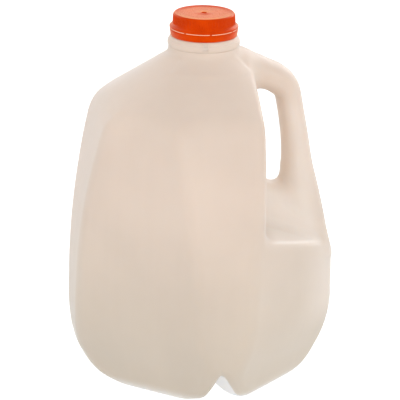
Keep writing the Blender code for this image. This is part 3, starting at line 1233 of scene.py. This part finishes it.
@dataclass
class Neck:
    """The turned neck: a ring and a cone over the collar, a lock ring, a thread and the mouth."""

    joint_height: float = 0.2304
    join_gap: float = 0.0003
    collar_radius: float = 0.0237
    wall: float = 0.0008
    upper_ring: float = 0.0241
    ring_foot: float = 0.0234
    ring_bottom: float = 0.2320
    ring_top: float = 0.2362
    cone_rows: int = 8
    cone_bow: float = 1.5
    cone_bottom: float = 0.2364
    cone_top: float = 0.2386
    cone_radius_bottom: float = 0.0234
    cone_radius_top: float = 0.0219
    root_radius: float = 0.0178
    lock_ring: float = 0.0191
    bore_radius: float = 0.0166
    mouth_height: float = 0.2524
    # steps from the collar's top, the outside at the mouth and the bore at the mouth
    collar_steps: Rows = ((0.0, 0.0), (-0.0001, 0.0004), (-0.0002, 0.0008), (-0.0003, 0.0011))
    lip_steps: Rows = ((0.0, -0.0004), (-0.0002, -0.0001), (-0.0005, 0.0))
    bore_steps: Rows = ((0.0005, 0.0), (0.0002, -0.0001), (0.0, -0.0004))
    # rows outside, from the cone in to the root, and inside, from the bore out to the collar
    waist: Rows = ((0.0210, 0.23885), (0.0200, 0.2390), (0.0184, 0.2393))
    throat: Rows = (
        (0.0172, 0.2387),
        (0.0194, 0.2381),
        (0.0213, 0.2376),
        (0.0224, 0.2366),
        (0.0231, 0.2354),
        (0.0232, 0.2336),
        (0.0227, 0.2321),
        (0.0228, 0.2313),
    )
    # heights of the rows on the root, the lock ring and the bore
    root_heights: tuple[float, ...] = (0.2398, 0.2404, 0.2418)
    lock_heights: tuple[float, ...] = (0.2424, 0.2430)
    bore_heights: tuple[float, ...] = (0.2480, 0.2430, 0.2394)
    lock_foot: tuple[float, float] = (0.0180, 0.2438)
    thread_low: float = 0.2446
    thread_high: float = 0.2514
    thread_rows: int = 30
    thread_start: float = 0.0010
    thread_depth: float = 0.0008
    thread_pitch: float = 0.0036
    thread_width: float = 0.0011
    thread_turns: float = 1.4
    thread_fade: float = 0.08
    rib_count: int = 4
    rib_spacing: float = 0.00105
    rib_start: float = -0.00526
    rib_width: float = 0.0005
    rib_depth: float = 0.0008
    rib_bottom: float = 0.2336
    columns: int = 288

    def outer_profile(self) -> Profile:
        """Draw the outside from the collar up to the lip.

        Returns:
            The profile.
        """
        points = stepped(self.collar_radius, self.joint_height + self.join_gap, self.collar_steps)
        points += self.ring()
        rise, spread = self.cone_top - self.cone_bottom, self.cone_radius_top - self.cone_radius_bottom
        for n in range(self.cone_rows + 1):
            share = n / self.cone_rows
            radius = self.cone_radius_bottom + spread * share**self.cone_bow
            points.append((radius, self.cone_bottom + rise * share))
        points += self.waist
        points += [(self.root_radius, height) for height in self.root_heights]
        points += [(self.lock_ring, height) for height in self.lock_heights]
        points.append(self.lock_foot)
        for n in range(self.thread_rows + 1):
            share = n / self.thread_rows
            height = self.thread_low + share * (self.thread_high - self.thread_low)
            points.append((self.root_radius, height))
        return points + stepped(self.root_radius, self.mouth_height, self.lip_steps)

    def ring(self) -> Profile:
        """Draw the rounded ring over the collar.

        Returns:
            Its profile.
        """
        rows, roundness = 8, 0.6
        middle, half = (self.ring_bottom + self.ring_top) / 2, (self.ring_top - self.ring_bottom) / 2
        points = []
        for n in range(rows + 1):
            turn = math.pi * (n / rows - 0.5)
            bulge = abs(math.cos(turn)) ** roundness
            radius = self.ring_foot + (self.upper_ring - self.ring_foot) * bulge
            points.append((radius, middle + half * math.sin(turn)))
        return points

    def inner_profile(self) -> Profile:
        """Draw the bore from the lip down to the collar.

        Returns:
            The profile.
        """
        points = stepped(self.bore_radius, self.mouth_height, self.bore_steps)
        points += [(self.bore_radius, height) for height in self.bore_heights]
        points += self.throat
        points.append((self.collar_radius - self.wall, self.joint_height + self.join_gap))
        return points

    def swell(self, turn: float, height: float) -> float:
        """Measure how far the thread and the short ribs stand out at a place on the outside.

        Args:
            turn: The place's angle round the axis.
            height: Its height.

        Returns:
            How far the surface stands out.
        """
        out = 0.0
        for lap in range(math.ceil(self.thread_turns)):
            along = turn / FULL_TURN + lap
            if along > self.thread_turns:
                continue
            centre = self.thread_high - self.thread_start - along * self.thread_pitch
            fade = min(along / self.thread_fade, (self.thread_turns - along) / self.thread_fade, 1.0)
            off = abs(height - centre) / self.thread_width
            out = max(out, self.thread_depth * fade * max(1.0 - off * off, 0.0))
        front = 0.75 * FULL_TURN
        if self.rib_bottom <= height <= self.cone_top:
            for n in range(self.rib_count):
                place = (turn - front) * self.upper_ring - self.rib_start - n * self.rib_spacing
                near = max(1.0 - (place / self.rib_width) ** 2, 0.0)
                out = max(out, self.rib_depth * near)
        return out

    def add_to(self, grid: bmesh.types.BMesh) -> None:
        """Add the neck to a bmesh as one open band of faces, collar to lip to bore.

        Args:
            grid: The bmesh to add to.
        """
        profile = self.outer_profile() + self.inner_profile()
        rings = turned_rings(grid, profile, self.columns, closed=False)
        for ring, (radius, height) in zip(rings, profile):
            if radius < self.root_radius - TINY or not self.rib_bottom <= height <= self.thread_high:
                continue
            for vert in ring:
                turn = math.atan2(vert.co.y, vert.co.x) % FULL_TURN
                grown = 1.0 + self.swell(turn, height) / radius
                vert.co.x *= grown
                vert.co.y *= grown


@dataclass
class Jug:
    """The whole blow-moulded jug: one thin wall, hollow through the handle, open at the mouth."""

    walls: SideWalls = field(default_factory=SideWalls)
    shoulder: Shoulder = field(default_factory=Shoulder)
    recess: HandleRecess = field(default_factory=HandleRecess)
    root: HandleRoot = field(default_factory=HandleRoot)
    handle: HandleTube = field(default_factory=HandleTube)
    grooves: BaseGrooves = field(default_factory=BaseGrooves)
    neck: Neck = field(default_factory=Neck)
    wall: float = 0.0008
    root_blend: float = 0.0050
    collar_overlap: float = 0.0040
    outer_cell: float = 0.00195
    inner_cell: float = 0.0030
    # the region that is meshed, and how close points on the cut rim may lie
    reach: float = 0.0940
    mesh_bottom: float = -0.0040
    mesh_top: float = 0.2380
    rim_gap: float = 0.0002
    finish: NaturalPlastic = field(default_factory=NaturalPlastic)

    def field(self, points: np.ndarray) -> np.ndarray:
        """Measure how far points are from the jug's outside.

        Args:
            points: Rows of x, y and z.

        Returns:
            Signed distances, negative inside.
        """
        body = round_overlap(self.walls.field(points), self.shoulder.cone(points), self.shoulder.edge_round)
        ledge = self.recess.ledge(points)
        shape = round_overlap(body, -self.recess.field(points), self.recess.edge_at(points[:, 2]))
        shape = fillet_join(shape, self.root.field(points, body, ledge), self.root_blend)
        shape = fillet_join(shape, self.handle.field(points), self.handle.blend_at(points[:, 2]))
        shape = round_overlap(shape, -self.grooves.field(points), self.grooves.edge_round)
        collar = self.shoulder.collar(points, self.neck.joint_height + self.collar_overlap)
        return fillet_join(shape, collar, self.shoulder.collar_fillet)

    def shell(self, inset: float, cell: float, flip: bool) -> bmesh.types.BMesh:
        """Mesh the outside, or the inside at an inset, open where the neck begins.

        Args:
            inset: How far inside the outer surface the shell lies.
            cell: The size of its faces.
            flip: Whether its faces are turned inwards.

        Returns:
            The shell.
        """
        low, high = (-self.reach, -self.reach, self.mesh_bottom), (self.reach, self.reach, self.mesh_top)
        net = SurfaceNet(low, high, cell)

        def rule(points: np.ndarray) -> np.ndarray:
            """Return signed distances to the shell."""
            return self.field(points) + inset

        points, quads = net.wrap(rule)
        points = net.settle(rule, points, quads)
        points[:, 2] = np.maximum(points[:, 2], inset)
        if flip:
            quads = quads[:, ::-1]
        mesh = bpy.data.meshes.new("shell")
        mesh.from_pydata(points.tolist(), [], quads.tolist())
        grid = bmesh.new()
        grid.from_mesh(mesh)
        bpy.data.meshes.remove(mesh)
        geometry = list(grid.verts) + list(grid.edges) + list(grid.faces)
        bmesh.ops.bisect_plane(
            grid,
            geom=geometry,
            dist=TINY,
            plane_co=(0.0, 0.0, self.neck.joint_height),
            plane_no=(0.0, 0.0, 1.0),
            clear_outer=True,
        )
        bmesh.ops.remove_doubles(grid, verts=[v for v in grid.verts if v.is_boundary], dist=self.rim_gap)
        return grid

    def join(self, grid: bmesh.types.BMesh, other: bmesh.types.BMesh) -> None:
        """Copy one bmesh into another and free it.

        Args:
            grid: The bmesh to add to.
            other: The bmesh to copy.
        """
        mesh = bpy.data.meshes.new("join")
        other.to_mesh(mesh)
        other.free()
        grid.from_mesh(mesh)
        bpy.data.meshes.remove(mesh)

    def close_joint(self, grid: bmesh.types.BMesh) -> None:
        """Bridge the two pairs of open rims, outside and inside, where the neck begins.

        Args:
            grid: The bmesh that holds the shells and the neck.
        """
        left = {edge for edge in grid.edges if edge.is_boundary}
        rims = []
        while left:
            rim, reached = [], [left.pop()]
            while reached:
                edge = reached.pop()
                rim.append(edge)
                touching = {other for vert in edge.verts for other in vert.link_edges if other in left}
                left -= touching
                reached += touching
            size = sum(math.hypot(*edge.verts[0].co.xy) for edge in rim) / len(rim)
            rims.append((edge.verts[0].co.z > self.neck.joint_height + self.neck.join_gap / 2, size, rim))
        rims.sort(key=lambda rim: rim[:2])
        shell_rims, neck_rims = rims[:2], rims[2:]
        for below, above in zip(shell_rims, neck_rims, strict=True):
            bmesh.ops.bridge_loops(grid, edges=below[2] + above[2])

    def build(self) -> bpy.types.Object:
        """Build and dress the jug.

        Returns:
            The finished piece.
        """
        grid = self.shell(0.0, self.outer_cell, False)
        self.join(grid, self.shell(self.wall, self.inner_cell, True))
        self.neck.add_to(grid)
        self.close_joint(grid)
        open_edges = sum(1 for edge in grid.edges if len(edge.link_faces) != 2)
        log.info("jug: %d faces, %d open edges", len(grid.faces), open_edges)
        made = link_mesh("jug_skin", mesh_from("jug_skin", grid))
        made.data.materials.append(self.finish.material())
        return made


# --- the cap ---------------------------------------------------------------------------------


@dataclass
class Cap:
    """The screw cap: a ribbed shell over a tamper band, joined by small bridges."""

    top: float = 0.2540
    disc_radius: float = 0.0197
    side_radius: float = 0.02030
    rib_count: int = 120
    rib_depth: float = 0.00032
    rib_bottom: float = 0.2471
    rib_top: float = 0.2531
    rib_foot_blend: float = 0.0004
    rib_head_blend: float = 0.0003
    skirt_radius: float = 0.0229
    skirt_top: float = 0.2474
    skirt_bottom: float = 0.2442
    bore: float = 0.0191
    bore_round: float = 0.0004
    bore_flare: float = 0.0012
    plate: float = 0.0014
    dimple_radius: float = 0.0017
    dimple_depth: float = 0.00085
    dimple_floor: float = 0.3
    disc_rows: tuple[float, ...] = (0.7, 0.4)
    disc_sink: float = 0.00035
    # steps from the skirt's foot, the side's foot, the disc's rim and the dimple's rim
    skirt_steps: Rows = (
        (-0.0004, 0.0),
        (-0.0001, 0.0002),
        (0.0, 0.0006),
        (-0.0001, 0.0010),
        (-0.0005, 0.0014),
    )
    waist_steps: Rows = ((0.0009, -0.0011), (0.0005, -0.0006))
    rim_steps: Rows = ((0.0, -0.0001), (-0.0004, 0.0), (-0.0009, -0.0001), (-0.0013, -0.00035))
    dimple_steps: Rows = ((0.0007, -0.00035), (0.0004, -0.0002), (0.0001, -0.00022), (-0.0002, -0.0008))
    # steps from the band's upper and lower edge
    band_top_steps: Rows = ((-0.0002, 0.0), (0.0, -0.0002), (-0.0001, -0.0016))
    band_foot_steps: Rows = ((0.0001, 0.0012), (0.0, 0.0002), (-0.0002, 0.0))
    # the web in the slit carries the painted light that shows through the gap
    web_radius: float = 0.0224
    web_thickness: float = 0.0003
    web_overlap: float = 0.0001
    band_top: float = 0.2437
    band_bottom: float = 0.2389
    band_radius_top: float = 0.0227
    band_radius_bottom: float = 0.0222
    band_bore: float = 0.0211
    bridge_count: int = 8
    bridge_width: float = 0.0012
    bridge_depth_share: float = 0.95
    bridge_overlap: float = 0.0002
    columns: int = 720
    side_rows: int = 9
    side_draft: float = 0.0003
    side_end: tuple[float, float] = (-0.0002, 0.0004)
    band_columns: int = 240
    sharp_angle: float = math.radians(50.0)
    finish: OrangePlastic = field(default_factory=OrangePlastic)

    def shell_profile(self) -> Profile:
        """Draw the shell's outside from the skirt's foot up to the dimple.

        Returns:
            The profile.
        """
        points = stepped(self.skirt_radius, self.skirt_bottom, self.skirt_steps)
        points += stepped(self.side_radius, self.skirt_top, self.waist_steps)
        for n in range(self.side_rows + 1):
            share = n / self.side_rows
            height = self.skirt_top + share * (self.rib_top - self.skirt_top)
            points.append((self.side_radius + self.side_draft * (1 - share), height))
        points += stepped(self.side_radius, self.rib_top, (self.side_end,))
        points += stepped(self.disc_radius, self.top, self.rim_steps)
        points += [(self.disc_radius * share, self.top - self.disc_sink) for share in self.disc_rows]
        points += stepped(self.dimple_radius, self.top, self.dimple_steps)
        points.append((self.dimple_radius * self.dimple_floor, self.top - self.dimple_depth))
        return points

    def bore_profile(self) -> Profile:
        """Draw the shell's inside from its middle down to the skirt's foot.

        Returns:
            The profile.
        """
        ceiling = self.top - self.plate
        flared = self.bore + self.bore_flare
        return [
            (self.dimple_radius * self.dimple_floor, ceiling),
            (self.bore - self.bore_round, ceiling),
            (self.bore, ceiling - self.bore_round),
            (self.bore, self.skirt_top),
            (flared, self.skirt_top - self.bore_flare),
            (flared, self.skirt_bottom),
        ]

    def band_profile(self) -> Profile:
        """Draw the tamper band.

        Returns:
            The closed profile.
        """
        points = stepped(self.band_radius_top, self.band_top, self.band_top_steps)
        points += stepped(self.band_radius_bottom, self.band_bottom, self.band_foot_steps)
        points += [(self.band_bore, self.band_bottom), (self.band_bore, self.band_top)]
        return points

    def web_profile(self) -> Profile:
        """Draw the slim web that shows in the slit, which carries the painted light seen through the gap.

        Returns:
            The closed profile.
        """
        low, high = self.band_top - self.web_overlap, self.skirt_bottom + self.web_overlap
        inner = self.web_radius - self.web_thickness
        return [(self.web_radius, high), (self.web_radius, low), (inner, low), (inner, high)]

    def shell(self) -> bpy.types.Object:
        """Turn the shell, the band and the web into one mesh, before its ribs and bridges.

        Returns:
            The object that holds it.
        """
        grid = bmesh.new()
        outer = self.shell_profile()
        rings = turned_rings(grid, outer + self.bore_profile(), self.columns, closed=True)
        dimple, ceiling = rings[len(outer) - 1], rings[len(outer)]
        middle = set(dimple) | set(ceiling)
        between = [face for face in grid.faces if middle.issuperset(face.verts)]
        bmesh.ops.delete(grid, geom=between, context="FACES_ONLY")
        grid.faces.new(dimple)
        grid.faces.new(ceiling[::-1])
        turned_rings(grid, self.band_profile()[::-1], self.band_columns, closed=True)
        turned_rings(grid, self.web_profile()[::-1], self.band_columns, closed=True)
        return link_mesh("cap_moulding", mesh_from("cap_moulding", grid))

    def tree(self) -> tuple[bpy.types.NodeTree, dict[str, object]]:
        """Build the node tree that presses the ribs out and sets the bridges.

        Returns:
            The tree, and the value of each of its named inputs.
        """
        bridge_size = (
            (self.band_radius_top - self.band_bore) * self.bridge_depth_share,
            self.bridge_width,
            self.skirt_bottom - self.band_top + 2 * self.bridge_overlap,
        )
        sizes = {
            "Rib Count": (Socket.COUNT, self.rib_count),
            "Rib Depth": (Socket.NUMBER, self.rib_depth),
            "Rib Bottom": (Socket.NUMBER, self.rib_bottom),
            "Rib Top": (Socket.NUMBER, self.rib_top),
            "Rib From Radius": (Socket.NUMBER, self.side_radius - self.side_draft),
            "Bridge Count": (Socket.COUNT, self.bridge_count),
            "Bridge Radius": (Socket.NUMBER, (self.band_bore + self.band_radius_top) / 2),
            "Bridge Height": (Socket.NUMBER, (self.skirt_bottom + self.band_top) / 2),
            "Bridge Size": (Socket.VECTOR, bridge_size),
            "Finish": (Socket.MATERIAL, self.finish.material()),
        }
        kinds = {"Geometry": Socket.SHAPE} | {name: kind for name, (kind, _) in sizes.items()}
        sheet, given, put = new_group("cap_ribs", "GeometryNodeTree", kinds, {"Geometry": Socket.SHAPE})
        joined = sheet.add("GeometryNodeJoinGeometry")
        sheet.feed(joined.inputs[0], self.press_ribs(sheet, given.outputs))
        sheet.feed(joined.inputs[0], self.set_bridges(sheet, given.outputs))
        real = sheet.add("GeometryNodeRealizeInstances")
        sheet.feed(real.inputs["Geometry"], joined.outputs[0])
        painted = sheet.add("GeometryNodeSetMaterial")
        sheet.fill(painted, {"Geometry": real.outputs[0], "Material": given.outputs["Finish"]})
        sheet.feed(put.inputs["Geometry"], painted.outputs[0])
        return sheet.tree, {name: value for name, (_, value) in sizes.items()}

    def press_ribs(self, sheet: NodeSheet, given: bpy.types.NodeOutputs) -> bpy.types.NodeSocket:
        """Push the side out by the rib rule.

        Args:
            sheet: The tree's nodes.
            given: The tree's named inputs.

        Returns:
            The ribbed geometry.
        """
        x, y, z = sheet.split(sheet.add("GeometryNodeInputPosition").outputs[0])
        radius = sheet.distance(x, y)
        wave = sheet.math("COSINE", sheet.product(sheet.math("ARCTAN2", y, x), given["Rib Count"]))
        wave = sheet.math("MULTIPLY_ADD", wave, 0.5, 0.5)
        ends = []
        for name, blend, levels in (
            ("Rib Bottom", self.rib_foot_blend, (0.0, 1.0)),
            ("Rib Top", self.rib_head_blend, (1.0, 0.0)),
        ):
            low, high = (sheet.math(kind, given[name], blend) for kind in ("SUBTRACT", "ADD"))
            ends.append(sheet.remap(z, low, high, *levels))
        outside = sheet.math("GREATER_THAN", radius, given["Rib From Radius"])
        out = sheet.math("DIVIDE", sheet.product(*ends, wave, outside, given["Rib Depth"]), radius)
        offset = sheet.combine("ShaderNodeCombineXYZ", sheet.product(x, out), sheet.product(y, out))
        moved = sheet.add("GeometryNodeSetPosition")
        sheet.fill(moved, {"Geometry": given["Geometry"], "Offset": offset})
        return moved.outputs[0]

    def set_bridges(self, sheet: NodeSheet, given: bpy.types.NodeOutputs) -> bpy.types.NodeSocket:
        """Place the bridges on a circle.

        Args:
            sheet: The tree's nodes.
            given: The tree's named inputs.

        Returns:
            The bridges' instances.
        """
        circle = sheet.add("GeometryNodeMeshCircle")
        sheet.fill(circle, {"Vertices": given["Bridge Count"], "Radius": given["Bridge Radius"]})
        lift = sheet.combine("ShaderNodeCombineXYZ", None, None, given["Bridge Height"])
        raised = sheet.add("GeometryNodeTransform")
        sheet.fill(raised, {"Geometry": circle.outputs[0], "Translation": lift})
        block = sheet.add("GeometryNodeMeshCube")
        sheet.feed(block.inputs["Size"], given["Bridge Size"])
        x, y, _ = sheet.split(sheet.add("GeometryNodeInputPosition").outputs[0])
        facing = sheet.combine("ShaderNodeCombineXYZ", None, None, sheet.math("ARCTAN2", y, x))
        placed = sheet.add("GeometryNodeInstanceOnPoints")
        parts = {"Points": raised.outputs[0], "Instance": block.outputs["Mesh"], "Rotation": facing}
        sheet.fill(placed, parts)
        return placed.outputs[0]

    def build(self) -> bpy.types.Object:
        """Build and dress the cap.

        Returns:
            The finished piece.
        """
        shell = self.shell()
        tree, values = self.tree()
        ribs = shell.modifiers.new("ribs", "NODES")
        ribs.node_group = tree
        names = {item.name: item.identifier for item in tree.interface.items_tree if item.in_out == "INPUT"}
        for name, value in values.items():
            ribs[names[name]] = value
        graph = bpy.context.evaluated_depsgraph_get()
        mesh = bpy.data.meshes.new_from_object(shell.evaluated_get(graph))
        bpy.data.objects.remove(shell, do_unlink=True)
        grid = bmesh.new()
        grid.from_mesh(mesh)
        made = link_mesh("screw_cap", mesh_from("screw_cap", grid))
        made.data.materials.clear()
        made.data.materials.append(values["Finish"])
        made.data.set_sharp_from_angle(angle=self.sharp_angle)
        log.info("cap: %d faces", len(made.data.polygons))
        return made


# --- the studio ----------------------------------------------------------------------------


@dataclass
class Studio:
    """A pale floor in white light, with the camera a little above the jug."""

    camera_place: Vector = field(default_factory=lambda: Vector((-0.45375, -2.13473, 0.81432)))
    camera_forward: Vector = field(default_factory=lambda: Vector((0.19792, 0.93262, -0.30173)))
    camera_roll: float = math.radians(0.949)
    camera_reach: float = 20.0
    lens: float = 306.05
    sensor: float = 36.0
    front_light: float = 1.42
    back_light: float = 1.15
    top_light: float = 0.25
    front_gloss: float = 0.0
    # how far along an axis each part of the light starts and is full
    before_span: Span = (0.2, -1.0)
    behind_span: Span = (-0.2, 1.0)
    floor_size: float = 6.0
    floor_gap: float = 0.0004
    panel_size: float = 1.4
    panel_aim: Vector = field(default_factory=lambda: Vector((0.0, 0.0, 0.12)))
    # each panel's name, place and power in watts
    panels: tuple[tuple[str, tuple[float, float, float], float], ...] = (
        ("left", (-2.2, -0.2, 0.8), 6.0),
        ("right", (2.2, -0.2, 0.8), 6.5),
        ("back_right", (1.6, 1.6, 1.2), 11.0),
    )

    def build(self) -> None:
        """Build the floor, the light and the camera."""
        self.floor()
        self.daylight()
        for name, place, power in self.panels:
            self.panel(name, Vector(place), power)
        self.camera()

    def floor(self) -> None:
        """Lay the floor just under the jug's foot."""
        grid, cells = bmesh.new(), 8
        bmesh.ops.create_grid(grid, x_segments=cells, y_segments=cells, size=self.floor_size / 2)
        bmesh.ops.translate(grid, verts=grid.verts, vec=(0.0, 0.0, -self.floor_gap))
        floor = link_mesh("floor", mesh_from("floor", grid))
        floor.data.materials.append(StudioWhite().material())

    def daylight(self) -> None:
        """Surround everything with white light, brighter behind the jug than before it."""
        world = bpy.data.worlds.new("studio_light")
        world.use_nodes = True
        sheet = NodeSheet(world.node_tree)
        background = world.node_tree.nodes["Background"]
        way = sheet.split(sheet.add("ShaderNodeTexCoord").outputs["Generated"])
        rays = sheet.add("ShaderNodeLightPath").outputs
        less = self.front_gloss - self.front_light
        front = sheet.math("MULTIPLY_ADD", rays["Is Glossy Ray"], less, self.front_light)
        before = sheet.rise(way["Y"], self.before_span)
        behind = sheet.remap(way["Y"], *self.behind_span, 0.0, self.back_light)
        above = sheet.remap(way["Z"], *self.behind_span, 0.0, self.top_light)
        level = sheet.math("MULTIPLY_ADD", before, front, sheet.math("ADD", behind, above))
        to_white = sheet.math("SUBTRACT", 1.0, level)
        strength = sheet.math("MULTIPLY_ADD", to_white, rays["Is Camera Ray"], level)
        sheet.fill(background, {"Color": WHITE, "Strength": strength})
        bpy.context.scene.world = world

    def panel(self, name: str, place: Vector, power: float) -> None:
        """Hang a soft square light that faces the jug.

        Args:
            name: The light's name.
            place: Where it hangs.
            power: Its power in watts.
        """
        light = bpy.data.lights.new(name, "AREA")
        light.size = self.panel_size
        light.energy = power
        lamp = bpy.data.objects.new(name, light)
        lamp.location = place
        lamp.rotation_euler = (self.panel_aim - place).to_track_quat("-Z", "Y").to_euler()
        bpy.context.scene.collection.objects.link(lamp)

    def camera(self) -> None:
        """Set up the camera, turned a little about its own axis."""
        forward = self.camera_forward.normalized()
        right = forward.cross(Vector((0.0, 0.0, 1.0))).normalized()
        up = right.cross(forward)
        cosine, sine = math.cos(self.camera_roll), math.sin(self.camera_roll)
        across = right * cosine + up * sine
        upward = up * cosine - right * sine
        turn = Matrix((across, upward, -forward)).transposed().to_4x4()
        data = bpy.data.cameras.new("view")
        data.lens = self.lens
        data.sensor_width = self.sensor
        data.sensor_fit = "HORIZONTAL"
        data.clip_end = self.camera_reach
        camera = bpy.data.objects.new("view", data)
        camera.matrix_world = Matrix.Translation(self.camera_place) @ turn
        bpy.context.scene.collection.objects.link(camera)
        bpy.context.scene.camera = camera


def settle_piece(piece: bpy.types.Object, node: str) -> None:
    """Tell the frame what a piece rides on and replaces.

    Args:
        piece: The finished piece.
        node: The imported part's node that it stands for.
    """
    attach(piece, ROOT_BODY)
    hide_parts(node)
    log.info("%s rides on %s and replaces %s", piece.name, ROOT_BODY, node)


def main() -> None:
    """Build every piece in order."""
    logging.basicConfig(level=logging.INFO, format="%(message)s")
    bpy.context.scene.view_settings.view_transform = "Standard"
    Studio().build()
    settle_piece(Jug().build(), "jug")
    settle_piece(Cap().build(), "cap")


if __name__ == "__main__":
    main()
